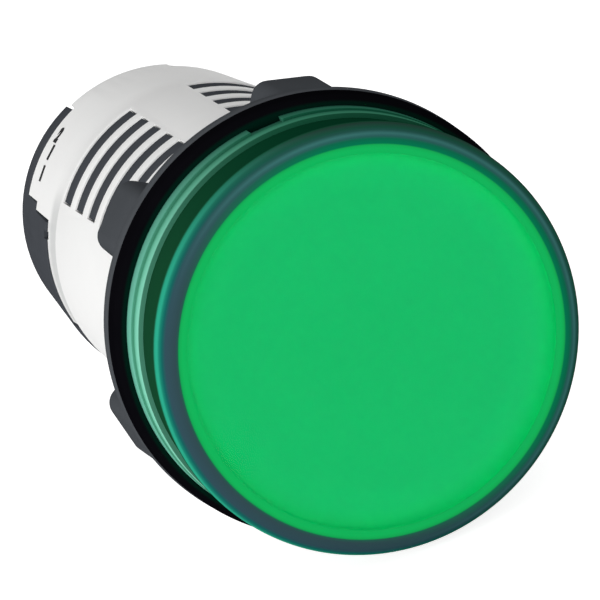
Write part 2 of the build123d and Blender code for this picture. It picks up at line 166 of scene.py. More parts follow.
def turn_outline(name, outline, steps=192):
    """A round part: its half outline (radius, place along the axis, in mm) spun about the axis."""
    piece = new_point(name, (outline[0][0], outline[0][1], 0))
    for here, there in zip(outline, outline[1:]):
        step = ((there[0] - here[0]) * mm, (there[1] - here[1]) * mm, 0)
        bpy.ops.mesh.extrude_region_move(TRANSFORM_OT_translate={"value": step})
    bpy.ops.mesh.select_all(action="SELECT")
    bpy.ops.mesh.spin(steps=steps, angle=2 * math.pi, center=(0, 0, 0), axis=(0, 1, 0))
    bpy.ops.mesh.select_all(action="SELECT")
    bpy.ops.mesh.remove_doubles(threshold=1e-6)
    bpy.ops.mesh.normals_make_consistent(inside=False)
    bpy.ops.object.mode_set(mode="OBJECT")
    return piece


def apply_modifier(piece, kind, **settings):
    """Adds a modifier with these settings and applies it."""
    bpy.ops.object.select_all(action="DESELECT")
    piece.select_set(True)
    bpy.context.view_layer.objects.active = piece
    modifier = piece.modifiers.new(kind.lower(), kind)
    for setting, value in settings.items():
        setattr(modifier, setting, value)
    bpy.ops.object.modifier_apply(modifier=modifier.name)


def break_edges(piece, width, segments=2):
    """Rounds every edge of the piece that is sharper than 30 degrees, then shades it smooth."""
    apply_modifier(piece, "BEVEL", width=width * mm, segments=segments, limit_method="ANGLE",
                   angle_limit=math.radians(30), use_clamp_overlap=True)
    bpy.ops.object.shade_smooth_by_angle(angle=math.radians(35))


def arc(middle, radius, start, end, count=6):
    """Points of a rounding, angles in degrees."""
    return [(middle[0] + radius * math.cos(math.radians(start + (end - start) * k / count)),
             middle[1] + radius * math.sin(math.radians(start + (end - start) * k / count)))
            for k in range(count + 1)]


def wind_thread(name, root, crest, first_y, pitch, turns, steps):
    """The ridge of a screw thread about the axis, a closed tube with its foot in the root."""
    height = crest - root
    piece = new_point(name, (root, first_y, 0))
    for step_r, step_y in ((height, 0.3), (0, 0.2), (-height, 0.3)):
        bpy.ops.mesh.extrude_region_move(
            TRANSFORM_OT_translate={"value": (step_r * mm, step_y * pitch * mm, 0)})
    bpy.ops.mesh.select_all(action="SELECT")
    bpy.ops.mesh.edge_face_add()
    bpy.ops.mesh.delete(type="ONLY_FACE")
    bpy.ops.object.mode_set(mode="OBJECT")
    apply_modifier(piece, "SCREW", axis="Y", angle=2 * math.pi, screw_offset=pitch * mm, steps=steps,
                   render_steps=steps, iterations=turns, use_merge_vertices=False)
    bpy.ops.object.mode_set(mode="EDIT")
    bpy.ops.mesh.select_all(action="SELECT")
    bpy.ops.mesh.remove_doubles(threshold=1e-7)
    bpy.ops.mesh.fill_holes(sides=4)
    bpy.ops.mesh.normals_make_consistent(inside=False)
    bpy.ops.object.mode_set(mode="OBJECT")
    bpy.ops.object.shade_smooth_by_angle(angle=math.radians(25))
    return piece


thread_root = 10.6
thread_crest = 11.05
bezel = turn_outline("bezel_moulding", [
    (9.9, 11.5), (10.45, 11.5), (10.72, 11.1), (10.72, -0.2), (thread_crest, -0.4), (thread_crest, -1.0),
    (14.38, -1.0), (14.5, -1.12)] + arc((13.8, -2.4), 0.7, 0, -90, 8) + [
    (13.42, -3.1), (13.42, -2.2), (12.3, -2.2), (12.3, -4.25), (12.0, -4.25), (12.0, -5.15), (12.3, -5.15),
    (12.3, -8.4), (11.0, -8.4), (11.0, -2.0), (9.9, -2.0), (9.9, 11.5)], 256)
break_edges(bezel, 0.08)
thread = wind_thread("neck_thread", thread_root, thread_crest, first_y=0.9, pitch=1.0, turns=9, steps=128)


def moulded_grain():
    """Fine uneven skin of a moulding. Puts out its height, a slight unevenness of tone, and gloss."""
    if "moulded_grain" in bpy.data.node_groups:
        return bpy.data.node_groups["moulded_grain"]
    group = bpy.data.node_groups.new("moulded_grain", "ShaderNodeTree")
    group.interface.new_socket("Place", in_out="INPUT", socket_type="NodeSocketVector")
    for name, value in (("Grain Scale", 9000.0), ("Cloud Scale", 260.0), ("Gloss", 0.4), ("Spread", 0.08)):
        group.interface.new_socket(name, in_out="INPUT", socket_type="NodeSocketFloat").default_value = value
    for name in ("Height", "Tone", "Roughness"):
        group.interface.new_socket(name, in_out="OUTPUT", socket_type="NodeSocketFloat")
    enter = group.nodes.new("NodeGroupInput")
    leave = group.nodes.new("NodeGroupOutput")
    grain = group.nodes.new("ShaderNodeTexNoise")
    grain.inputs["Detail"].default_value = 3
    cloud = group.nodes.new("ShaderNodeTexNoise")
    cloud.inputs["Detail"].default_value = 4
    cloud.inputs["Roughness"].default_value = 0.6
    group.links.new(enter.outputs["Place"], grain.inputs["Vector"])
    group.links.new(enter.outputs["Grain Scale"], grain.inputs["Scale"])
    group.links.new(enter.outputs["Place"], cloud.inputs["Vector"])
    group.links.new(enter.outputs["Cloud Scale"], cloud.inputs["Scale"])
    centred = group.nodes.new("ShaderNodeMath")
    centred.operation = "SUBTRACT"
    centred.inputs[1].default_value = 0.5
    group.links.new(cloud.outputs["Fac"], centred.inputs[0])
    gloss = group.nodes.new("ShaderNodeMath")
    gloss.operation = "MULTIPLY_ADD"
    group.links.new(centred.outputs[0], gloss.inputs[0])
    group.links.new(enter.outputs["Spread"], gloss.inputs[1])
    group.links.new(enter.outputs["Gloss"], gloss.inputs[2])
    group.links.new(grain.outputs["Fac"], leave.inputs["Height"])
    group.links.new(cloud.outputs["Fac"], leave.inputs["Tone"])
    group.links.new(gloss.outputs[0], leave.inputs["Roughness"])
    return group


def linear(red, green, blue):
    """A colour as it is seen, 0 to 255, as the light values that a shader takes."""
    return tuple(((c / 255 + 0.055) / 1.055) ** 2.4 if c > 10 else c / 255 / 12.92
                 for c in (red, green, blue)) + (1,)


def mix_colours(made, links, factor, low, high):
    """A colour between two sockets or two colours, by a mask."""
    mix = made.new("ShaderNodeMix")
    mix.data_type = "RGBA"
    links.new(factor, mix.inputs["Factor"])
    for name, value in (("A", low), ("B", high)):
        if isinstance(value, tuple):
            mix.inputs[name].default_value = value
        else:
            links.new(value, mix.inputs[name])
    return mix.outputs["Result"]


def moulded_skin(made, links, shader, gloss, spread, grain, cloud, depth):
    """Gives a shader the grain of a moulding, in gloss and bump. Returns its unevenness of tone."""
    place = made.new("ShaderNodeTexCoord")
    skin = made.new("ShaderNodeGroup")
    skin.node_tree = moulded_grain()
    skin.inputs["Grain Scale"].default_value = grain
    skin.inputs["Cloud Scale"].default_value = cloud
    skin.inputs["Gloss"].default_value = gloss
    skin.inputs["Spread"].default_value = spread
    links.new(place.outputs["Object"], skin.inputs["Place"])
    links.new(skin.outputs["Roughness"], shader.inputs["Roughness"])
    bump = made.new("ShaderNodeBump")
    bump.inputs["Strength"].default_value = 0.25
    bump.inputs["Distance"].default_value = depth * mm
    links.new(skin.outputs["Height"], bump.inputs["Height"])
    links.new(bump.outputs["Normal"], shader.inputs["Normal"])
    return skin.outputs["Tone"]


def moulded_plastic(name, dark, light, gloss, spread=0.08, grain=9000.0, cloud=260.0, depth=0.02, shine=0.5):
    """Moulded plastic between two close tones, with its grain in gloss and bump."""
    material, made, links, shader = paint(name)
    tone = moulded_skin(made, links, shader, gloss, spread, grain, cloud, depth)
    links.new(mix_colours(made, links, tone, linear(*dark), linear(*light)), shader.inputs["Base Color"])
    shader.inputs["Specular IOR Level"].default_value = shine
    return material


def ring_place():
    """Where a point of a round part lies: along the axis, away from it, and how far to the lit side."""
    if "ring_place" in bpy.data.node_groups:
        return bpy.data.node_groups["ring_place"]
    group = bpy.data.node_groups.new("ring_place", "ShaderNodeTree")
    group.interface.new_socket("Place", in_out="INPUT", socket_type="NodeSocketVector")
    for name in ("Along", "Radius", "Lit Side"):
        group.interface.new_socket(name, in_out="OUTPUT", socket_type="NodeSocketFloat")
    enter = group.nodes.new("NodeGroupInput")
    leave = group.nodes.new("NodeGroupOutput")
    parts = group.nodes.new("ShaderNodeSeparateXYZ")
    group.links.new(enter.outputs["Place"], parts.inputs["Vector"])
    flat = group.nodes.new("ShaderNodeVectorMath")
    flat.operation = "MULTIPLY"
    flat.inputs[1].default_value = (1, 0, 1)
    group.links.new(enter.outputs["Place"], flat.inputs[0])
    radius = group.nodes.new("ShaderNodeVectorMath")
    radius.operation = "LENGTH"
    group.links.new(flat.outputs["Vector"], radius.inputs[0])
    outward = group.nodes.new("ShaderNodeVectorMath")
    outward.operation = "NORMALIZE"
    group.links.new(flat.outputs["Vector"], outward.inputs[0])
    side = group.nodes.new("ShaderNodeVectorMath")
    side.operation = "DOT_PRODUCT"
    to_the_light = (-0.94, 0, -0.34)
    side.inputs[1].default_value = to_the_light
    group.links.new(outward.outputs["Vector"], side.inputs[0])
    in_mm = []
    for socket in (parts.outputs["Y"], radius.outputs["Value"]):
        scaled = group.nodes.new("ShaderNodeMath")
        scaled.operation = "MULTIPLY"
        scaled.inputs[1].default_value = 1 / mm
        group.links.new(socket, scaled.inputs[0])
        in_mm.append(scaled.outputs[0])
    group.links.new(in_mm[0], leave.inputs["Along"])
    group.links.new(in_mm[1], leave.inputs["Radius"])
    group.links.new(side.outputs["Value"], leave.inputs["Lit Side"])
    return group


def place_on_ring(made, links):
    """The three places of ring_place, for a material."""
    place = made.new("ShaderNodeTexCoord")
    ring = made.new("ShaderNodeGroup")
    ring.node_tree = ring_place()
    links.new(place.outputs["Object"], ring.inputs["Place"])
    return ring.outputs["Along"], ring.outputs["Radius"], ring.outputs["Lit Side"]


def between(made, links, value, low, high):
    """A mask that rises smoothly from 0 to 1 between two values."""
    mask = made.new("ShaderNodeMapRange")
    mask.interpolation_type = "SMOOTHSTEP"
    mask.inputs["From Min"].default_value = low
    mask.inputs["From Max"].default_value = high
    links.new(value, mask.inputs["Value"])
    return mask.outputs["Result"]


def finish_piece(piece, material, body, slot, *stands_for):
    """Paints a new piece, lets it ride on its body and hides the CAD parts that it stands for."""
    piece.data.materials.clear()
    piece.data.materials.append(material)
    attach(piece, body)
    if stands_for:
        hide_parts(*stands_for)


# Painted reflection: the black beside the lens, on the bezel's front face, is painted dark green, a painted
# glow of the clear green lens.
bezel_black, made, links, shader = paint("bezel_black")
along, radius, _ = place_on_ring(made, links)
tone = moulded_skin(made, links, shader, gloss=0.45, spread=0.08, grain=9000, cloud=260, depth=0.02)
black = mix_colours(made, links, tone, linear(7, 7, 10), linear(13, 12, 16))
away = made.new("ShaderNodeMath")
away.operation = "MAXIMUM"
links.new(between(made, links, radius, 13.95, 14.2), away.inputs[0])
links.new(between(made, links, along, -2.7, -2.5), away.inputs[1])
# Painted reflection: dark green where the bezel meets the lens, black elsewhere.
links.new(mix_colours(made, links, away.outputs[0], linear(2, 30, 22), black), shader.inputs["Base Color"])
shader.inputs["Specular IOR Level"].default_value = 0
finish_piece(bezel, bezel_black, "lamp", "bezel_black", "bezel")
finish_piece(thread, bezel_black, "lamp", "bezel_black", "bezel")


# Panel gasket
# The thin soft ring that seals the bezel to the panel. Moulded nitrile rubber, dark grey and matt,
# with rounded outer edges. It is slipped over the neck and held by nothing else.

gasket = turn_outline("panel_gasket_ring", [
    (11.15, -1.0)] + arc((14.3, -0.75), 0.25, -90, 0, 4) + arc((14.3, -0.25), 0.25, 0, 90, 4) + [
    (11.15, 0), (11.15, -1.0)])
break_edges(gasket, 0.05)
gasket_rubber = moulded_plastic("gasket_rubber", (70, 73, 77), (80, 83, 87), gloss=0.72, spread=0.1,
                                grain=5000, cloud=400, depth=0.03, shine=0)
finish_piece(gasket, gasket_rubber, "lamp", "gasket_rubber", "panel_gasket")


# Lens seal
# A round cord of black rubber that keeps water out between lens and collar. It lies in the collar's
# groove, under the lens wall, and is pressed a little flat there.

bpy.ops.object.select_all(action="DESELECT")
groove_y = -4.7
cord_ring_radius = 12.375
cord_radius = 0.37
bpy.ops.mesh.primitive_torus_add(location=(0, groove_y * mm, 0), rotation=(math.pi / 2, 0, 0),
                                 major_segments=128, minor_segments=16,
                                 major_radius=cord_ring_radius * mm, minor_radius=cord_radius * mm)
seal = bpy.context.object
seal.name = "lens_seal_cord"
bpy.ops.object.transform_apply(location=True, rotation=True, scale=True)
bpy.ops.object.shade_smooth()
seal_rubber = moulded_plastic("seal_rubber", (14, 14, 15), (22, 22, 23), gloss=0.6, shine=0.2)
finish_piece(seal, seal_rubber, "lamp", "seal_rubber", "lens_seal")


# Diffuser
# The green cup right behind the face of the lens. Moulded from milky plastic; it spreads the light of the
# four sources. Its colour is painted brighter towards the edge: painted light that makes up for the shade the
# rim of the lens casts there.

def colours_along(made, links, value, stops, interpolation="LINEAR"):
    """A colour that runs through these stops, each a place and a colour as it is seen."""
    first = stops[0][0]
    last = stops[-1][0]
    share = made.new("ShaderNodeMapRange")
    share.inputs["From Min"].default_value = first
    share.inputs["From Max"].default_value = last
    links.new(value, share.inputs["Value"])
    ramp = made.new("ShaderNodeValToRGB")
    ramp.color_ramp.interpolation = interpolation
    while len(ramp.color_ramp.elements) < len(stops):
        ramp.color_ramp.elements.new(0.5)
    for element, (place, colour) in zip(ramp.color_ramp.elements, stops):
        element.position = (place - first) / (last - first)
        element.color = linear(*colour)
    links.new(share.outputs["Result"], ramp.inputs["Fac"])
    return ramp.outputs["Color"]


diffuser = turn_outline("diffuser_cup", [
    (0, -10.88), (12.45, -10.88), (12.57, -10.88)] + arc((12.57, -10.8), 0.08, -90, 0, 3) + [
    (12.65, -8.42), (11.75, -8.42), (11.75, -9.9), (0, -9.9)], 192)
break_edges(diffuser, 0.06)
diffuser_paint, made, links, shader = paint("diffuser_green")
_, radius, _ = place_on_ring(made, links)
moulded_skin(made, links, shader, gloss=0.5, spread=0.1, grain=4000, cloud=90, depth=0.02)
# Painted light: the ramp grows brighter towards the edge, against the shade of the lens rim.
links.new(colours_along(made, links, radius, [
    (0, (4, 168, 98)), (9.5, (3, 170, 99)), (11.0, (2, 177, 102)), (11.5, (0, 186, 104)),
    (11.9, (0, 198, 108)), (12.2, (0, 214, 116)), (12.64, (0, 255, 138))]),
    shader.inputs["Base Color"])
shader.inputs["Specular IOR Level"].default_value = 0.02
finish_piece(diffuser, diffuser_paint, "lamp", "diffuser_green", "diffuser")


# Lens
# The clear green cap: a flat face with a rounded rim, a plain wall and two ribs; rim, wall and ribs are
# painted with light and shade.
# Moulded and polished; it snaps on the collar. The rear rib has a small notch for a tool.

clear_face_radius = 12.18
rim_start_radius = 12.8
lens = turn_outline("lens_cap", [
    (0, -12.0), (clear_face_radius, -12.0)] + arc((rim_start_radius, -10.8), 1.2, -90, 0, 12) + [
    (14.0, -10.25), (13.45, -9.7), (13.45, -5.9), (13.75, -5.9), (13.75, -4.7), (13.45, -4.7),
    (13.45, -4.3), (13.8, -4.3), (13.8, -3.13), (13.3, -3.13), (13.3, -2.24), (12.75, -2.24),
    (12.75, -10.96), (12.6, -10.96), (0, -10.96)], 256)
bpy.ops.object.select_all(action="DESELECT")
notch_middle = (0, -3.7 * mm, 14.45 * mm)
notch_size = (2.3 * mm, 1.3 * mm, 2 * mm)
bpy.ops.mesh.primitive_cube_add(size=1, location=notch_middle)
notch_cutter = bpy.context.object
bpy.ops.transform.resize(value=notch_size)
apply_modifier(lens, "BOOLEAN", operation="DIFFERENCE", object=notch_cutter, solver="EXACT")
bpy.data.objects.remove(notch_cutter)
break_edges(lens, 0.06)


def lit_ring(made, links, lit_side, low, high, shaded, lit):
    """The tone of a clear ring: one colour where it turns to the light, the other where it turns away."""
    return mix_colours(made, links, between(made, links, lit_side, low, high), shaded, lit)


face_paint, made, links, shader = paint("lens_clear")
shader.inputs["Base Color"].default_value = linear(236, 255, 246)
shader.inputs["Roughness"].default_value = 0.03
shader.inputs["IOR"].default_value = 1.12
shader.inputs["Transmission Weight"].default_value = 1.0

# Painted light: an opaque ring where the clear face meets the rim, painted in the bright green of the lit
# diffuser as seen through the face, and darker at its outer edge.
edge_paint, made, links, shader = paint("lens_face_edge")
_, radius, _ = place_on_ring(made, links)
links.new(colours_along(made, links, radius, [
    (clear_face_radius, (8, 184, 92)), (12.5, (10, 184, 92)), (12.7, (12, 176, 86)), (12.82, (14, 136, 76))]),
    shader.inputs["Base Color"])
moulded_skin(made, links, shader, gloss=0.1, spread=0.04, grain=4000, cloud=200, depth=0.004)
shader.inputs["Specular IOR Level"].default_value = 0.05

# Its colour is painted along the outline, from the edge of the face over the rim and down the wall. The bands
# are painted light and shade: a lit and a shaded copy, a painted teal highlight on the lit side, and slate
# and dark green bands where the dark inside shows through.
wall_paint, made, links, shader = paint("lens_tinted_painted_light")
along, radius, lit_side = place_on_ring(made, links)
down_outline = made.new("ShaderNodeMath")
down_outline.operation = "MULTIPLY_ADD"
down_outline.inputs[1].default_value = 0.8
links.new(along, down_outline.inputs[0])
links.new(radius, down_outline.inputs[2])
shaded_wall = colours_along(made, links, down_outline.outputs[0], [
    (3.2, (4, 120, 80)), (3.55, (14, 108, 78)), (3.75, (44, 96, 92)), (4.0, (60, 116, 112)),
    (4.3, (38, 86, 78)), (4.6, (30, 84, 66)), (5.2, (44, 74, 64)), (5.55, (30, 80, 58)),
    (5.7, (8, 62, 40)), (8.8, (8, 60, 38))])
lit_wall = colours_along(made, links, down_outline.outputs[0], [
    (3.2, (36, 92, 78)), (3.4, (50, 74, 80)), (4.2, (48, 74, 84)), (4.5, (18, 92, 88)),
    (4.8, (26, 124, 104)), (5.05, (44, 166, 136)), (5.4, (44, 166, 134)), (5.58, (34, 118, 88)),
    (5.72, (22, 72, 44)), (8.8, (20, 66, 42))])
links.new(lit_ring(made, links, lit_side, -0.55, 0.75, shaded_wall, lit_wall), shader.inputs["Base Color"])
moulded_skin(made, links, shader, gloss=0.1, spread=0.04, grain=4000, cloud=200, depth=0.004)
shader.inputs["Specular IOR Level"].default_value = 0

# Painted light: the ribs are pale mint where they turn to the light and dark green where they turn away, with
# a darker line between them.
rib_paint, made, links, shader = paint("lens_ribs_painted_light")
along, _, lit_side = place_on_ring(made, links)
shaded_rib = colours_along(made, links, along, [
    (-5.95, (10, 70, 46)), (-5.6, (66, 142, 112)), (-4.95, (54, 126, 98)), (-4.6, (14, 84, 58)),
    (-4.35, (14, 84, 58)), (-4.0, (50, 118, 94)), (-3.4, (50, 112, 90)), (-3.1, (30, 80, 64))])
lit_rib = colours_along(made, links, along, [
    (-5.95, (30, 96, 70)), (-5.75, (136, 214, 186)), (-5.1, (124, 204, 176)), (-4.7, (74, 160, 124)),
    (-4.4, (70, 154, 120)), (-4.1, (112, 188, 164)), (-3.3, (106, 182, 158)), (-3.1, (50, 110, 90))])
links.new(lit_ring(made, links, lit_side, -0.5, 0.9, shaded_rib, lit_rib), shader.inputs["Base Color"])
moulded_skin(made, links, shader, gloss=0.35, spread=0.1, grain=5000, cloud=300, depth=0.02)
shader.inputs["Specular IOR Level"].default_value = 0

finish_piece(lens, face_paint, "lamp", "lens_green", "lens")
for material in (edge_paint, wall_paint, rib_paint):
    lens.data.materials.append(material)
rib_inner_radius = 13.2
rib_start_y = -5.95
for face in lens.data.polygons:
    face_radius = math.hypot(face.center.x, face.center.z) / mm
    face_y = face.center.y / mm
    if face_radius > rib_inner_radius and face_y > rib_start_y:
        face.material_index = 3
    elif face_radius > rim_start_radius:
        face.material_index = 2
    elif face_radius > clear_face_radius and face_y < -11.5:
        face.material_index = 1


# Fixing nut
# The nut that pulls the bezel against the panel from behind. Moulded in dark grey plastic, with six
# lobes for the fingers. It runs on the thread of the neck and comes off over the body.

def edged_copy(node_name, name, width, segments=2):
    """A merged copy of a CAD node with its sharp edges broken."""
    source = nodes[node_name]
    piece = bpy.data.objects.new(name, source.data.copy())
    scene.collection.objects.link(piece)
    bpy.ops.object.select_all(action="DESELECT")
    piece.select_set(True)
    bpy.context.view_layer.objects.active = piece
    bpy.ops.mesh.customdata_custom_splitnormals_clear()
    bpy.ops.object.mode_set(mode="EDIT")
    bpy.ops.mesh.select_all(action="SELECT")
    bpy.ops.mesh.remove_doubles(threshold=1e-7)
    bpy.ops.mesh.dissolve_limited(angle_limit=math.radians(0.5))
    bpy.ops.object.mode_set(mode="OBJECT")
    break_edges(piece, width, segments)
    return piece


nut = edged_copy("fixing_nut", "fixing_nut_lobed", 0.2, 3)
nut_grey = moulded_plastic("nut_grey", (70, 73, 77), (78, 81, 85), gloss=0.55, shine=0)
finish_piece(nut, nut_grey, "nut", "nut_grey", "fixing_nut")


# Housing
# The white slotted barrel. Moulded polycarbonate, satin, snapped into the neck of the bezel.
# In front of its stepped rear edge, a band round it is painted soft grey on the lit side: painted shade.

housing = edged_copy("housing", "housing_barrel", 0.06)
housing_white, made, links, shader = paint("housing_white")
along, _, lit_side = place_on_ring(made, links)
tone = moulded_skin(made, links, shader, gloss=0.5, spread=0.08, grain=9000, cloud=260, depth=0.02)
white = mix_colours(made, links, tone, linear(241, 241, 240), linear(247, 247, 246))
# Painted shade: a grey band behind the step, only on the side that turns to the light.
painted_shade_band = made.new("ShaderNodeMath")
painted_shade_band.operation = "SUBTRACT"
shade_band_start_y = (27.5, 28.4)
shade_band_end_y = (29.2, 30.1)
links.new(between(made, links, along, *shade_band_start_y), painted_shade_band.inputs[0])
links.new(between(made, links, along, *shade_band_end_y), painted_shade_band.inputs[1])
painted_band_on_lit_side = made.new("ShaderNodeMath")
painted_band_on_lit_side.operation = "MULTIPLY"
links.new(painted_shade_band.outputs[0], painted_band_on_lit_side.inputs[0])
links.new(between(made, links, lit_side, 0.46, 0.66), painted_band_on_lit_side.inputs[1])
links.new(mix_colours(made, links, painted_band_on_lit_side.outputs[0], white, linear(214, 215, 214)),
          shader.inputs["Base Color"])
shader.inputs["Specular IOR Level"].default_value = 0.1
finish_piece(housing, housing_white, "lamp", "housing_white", "housing")


# Printed numbers
# Three plain numbers, printed in black on the white tongue of the housing, beside its rear edge. They
# stand a little proud of it, as thick ink does.

print_black = moulded_plastic("print_black", (24, 25, 27), (44, 45, 47), gloss=0.6, shine=0.02)


def printed_digit(name, digit, angle, along_y, radius, slope, size, weight):
    """One printed digit on the barrel. It stands round the barrel and reads from rear to front."""
    bpy.ops.object.select_all(action="DESELECT")
    bpy.ops.object.text_add(location=(0, 0, 0))
    label = bpy.context.object
    label.data.body = digit
    label.data.size = size * mm
    label.data.align_x = "CENTER"
    label.data.align_y = "CENTER"
    label.data.offset = weight * mm
    label.data.extrude = 0.012 * mm
    label.data.resolution_u = 4
    bpy.ops.object.convert(target="MESH")
    label = bpy.context.object
    label.name = name
    outward = Vector((math.cos(angle), math.sin(slope), math.sin(angle))).normalized()
    head = Vector((0, 1, 0)).cross(outward).normalized()
    label.matrix_world = Matrix.Translation(Vector(
        (radius * math.cos(angle) * mm, along_y * mm, radius * math.sin(angle) * mm))) @ Matrix(
        (head.cross(outward), head, outward)).transposed().to_4x4()
    bpy.ops.object.transform_apply(location=True, rotation=True, scale=True)
    finish_piece(label, print_black, "lamp", "housing_white")


tongue_start_y = 30.2
tongue_start_radius = 10.31
tongue_fall = 0.5 / 8.3
tongue_slope = math.atan(tongue_fall)
digits = (("2", 124.0, 35.6, 1.4, 0.1), ("1", 131.1, 35.1, 1.15, 0.16), ("1", 139.7, 35.0, 1.15, 0.16))
for number, (digit, angle, along_y, size, weight) in enumerate(digits):
    printed_digit("printed_digit_%d" % (number + 1), digit, math.radians(angle), along_y,
                  tongue_start_radius - tongue_fall * (along_y - tongue_start_y), tongue_slope, size, weight)


# Terminal block
# The dark block at the rear, with the sleeve whose ribs fill the slots of the housing. Moulded in one
# from dark grey plastic, satin; it carries the screw terminals in two chambers.

terminal_block = edged_copy("terminal_block", "terminal_block_moulding", 0.06)
block_grey = moulded_plastic("block_grey", (68, 71, 76), (76, 79, 84), gloss=0.5, shine=0)
finish_piece(terminal_block, block_grey, "lamp", "block_grey", "terminal_block")


# Round board and its light sources
# A white board with four light sources, each a white package with a clear yellowish fill.
# Glass-fibre board with a white mask; it lies on the ledge inside the collar.

led_board = edged_copy("led_board", "led_board_disc", 0.06)
board_white = moulded_plastic("led_board_white", (228, 228, 222), (238, 238, 233), gloss=0.45, cloud=500,
                              shine=0.3)
finish_piece(led_board, board_white, "lamp", "led_board_white", "led_board")


def copy_to(piece, name, move):
    """A copy of a piece with its own mesh, moved by so many mm."""
    twin = piece.copy()
    twin.data = piece.data.copy()
    twin.name = name
    scene.collection.objects.link(twin)
    bpy.ops.object.select_all(action="DESELECT")
    twin.select_set(True)
    bpy.context.view_layer.objects.active = twin
    bpy.ops.object.mode_set(mode="EDIT")
    bpy.ops.mesh.select_all(action="SELECT")
    bpy.ops.transform.translate(value=Vector(move) * mm)
    bpy.ops.object.mode_set(mode="OBJECT")
    return twin


led_white = moulded_plastic("led_package", (232, 231, 224), (242, 241, 235), gloss=0.35, cloud=800,
                            shine=0.4)
led_fill = moulded_plastic("led_fill", (226, 206, 110), (240, 222, 132), gloss=0.15, spread=0.04, grain=5000,
                           cloud=900, depth=0.01)
led_middle = 3.655
fill = turn_outline("led_fill_1", [
    (0, -5.31), (0.5, -5.33), (0.85, -5.38), (1.03, -5.44), (1.03, -5.26), (0, -5.26), (0, -5.31)], 32)
bpy.ops.object.shade_smooth_by_angle(angle=math.radians(40))
fill_places = ((led_middle, led_middle), (-led_middle, led_middle),
               (-led_middle, -led_middle), (led_middle, -led_middle))
for number, (x, z) in enumerate(fill_places):
    node_name = "led_%d" % (number + 1)
    package = edged_copy(node_name, node_name + "_package", 0.06)
    finish_piece(package, led_white, "lamp", "led_package", node_name)
    filled = copy_to(fill, "led_fill_of_%d" % (number + 1), (x, 0, z))
    finish_piece(filled, led_fill, "lamp", "led_package")
bpy.data.objects.remove(fill)


# Driver board and its wires
# The narrow board along the axis, glass fibre with a green mask and copper lines under it. Two tinned
# wires join it to the round board, and every lead of its parts stands in a solder joint.

def metal(name, dark, light, gloss):
    """Plated or plain metal between two close tones, with fine tool marks."""
    material, made, links, shader = paint(name)
    tone = moulded_skin(made, links, shader, gloss, spread=0.12, grain=6000, cloud=900, depth=0.01)
    links.new(mix_colours(made, links, tone, linear(*dark), linear(*light)), shader.inputs["Base Color"])
    shader.inputs["Metallic"].default_value = 1.0
    return material


tinned = metal("tinned_wire", (196, 198, 202), (222, 223, 226), gloss=0.3)
driver_board = edged_copy("driver_board", "driver_board_strip", 0.05)
driver_green, made, links, shader = paint("driver_board_green")
place = made.new("ShaderNodeTexCoord")
lines = made.new("ShaderNodeTexBrick")
lines.inputs["Scale"].default_value = 110
lines.inputs["Mortar Size"].default_value = 0.02
lines.inputs["Color1"].default_value = linear(20, 92, 48)
lines.inputs["Color2"].default_value = linear(24, 98, 52)
lines.inputs["Mortar"].default_value = linear(48, 134, 78)
links.new(place.outputs["Object"], lines.inputs["Vector"])
links.new(lines.outputs["Color"], shader.inputs["Base Color"])
moulded_skin(made, links, shader, gloss=0.35, spread=0.1, grain=5000, cloud=400, depth=0.01)
finish_piece(driver_board, driver_green, "lamp", "driver_board_green", "driver_board")
for side in ("left", "right"):
    link_wire = edged_copy("board_link_" + side, "board_link_wire_" + side, 0.05)
    finish_piece(link_wire, tinned, "lamp", "tinned_wire", "board_link_" + side)

bpy.ops.object.select_all(action="DESELECT")
bpy.ops.mesh.primitive_cone_add(vertices=24, radius1=0.8 * mm, radius2=0.38 * mm, depth=0.4 * mm)
joint = bpy.context.object
joint.name = "solder_joint"
break_edges(joint, 0.1)
resistor_joints = [(side * 3.28, y, 1.0) for side in (-1, 1) for y in (9.54, 21.1)]
absorber_joints = [(side * 2.0, 5.53, 1.0) for side in (-1, 1)]
link_joints = [(side * 6.98, 2.4, 1.0) for side in (-1, 1)]
for number, place_of_joint in enumerate(resistor_joints + absorber_joints + link_joints):
    soldered = copy_to(joint, "solder_joint_%d" % (number + 1), place_of_joint)
    finish_piece(soldered, tinned, "lamp", "tinned_wire")
bpy.data.objects.remove(joint)


# Parts on the driver board
# Two lacquered resistors with plain bands, a black rectifier with a pale edge, a capacitor in a dark
# sleeve with a pale stripe and a blue dipped surge absorber. All are bought parts, soldered by their leads.

def new_box(name, low, high, edge):
    """A box between two corners, in mm, with its edges broken."""
    bpy.ops.object.select_all(action="DESELECT")
    bpy.ops.mesh.primitive_cube_add(size=1, location=(0, 0, 0))
    piece = bpy.context.object
    piece.name = name
    bpy.ops.object.mode_set(mode="EDIT")
    bpy.ops.mesh.select_all(action="SELECT")
    bpy.ops.transform.resize(value=[(b - a) * mm for a, b in zip(low, high)])
    bpy.ops.transform.translate(value=[(a + b) / 2 * mm for a, b in zip(low, high)])
    bpy.ops.object.mode_set(mode="OBJECT")
    break_edges(piece, edge)
    return piece


def paint_faces(piece, material, is_there):
    """Gives the faces for which the test holds, by their middle in mm, another material."""
    piece.data.materials.append(material)
    for face in piece.data.polygons:
        if is_there(face.center / mm):
            face.material_index = len(piece.data.materials) - 1


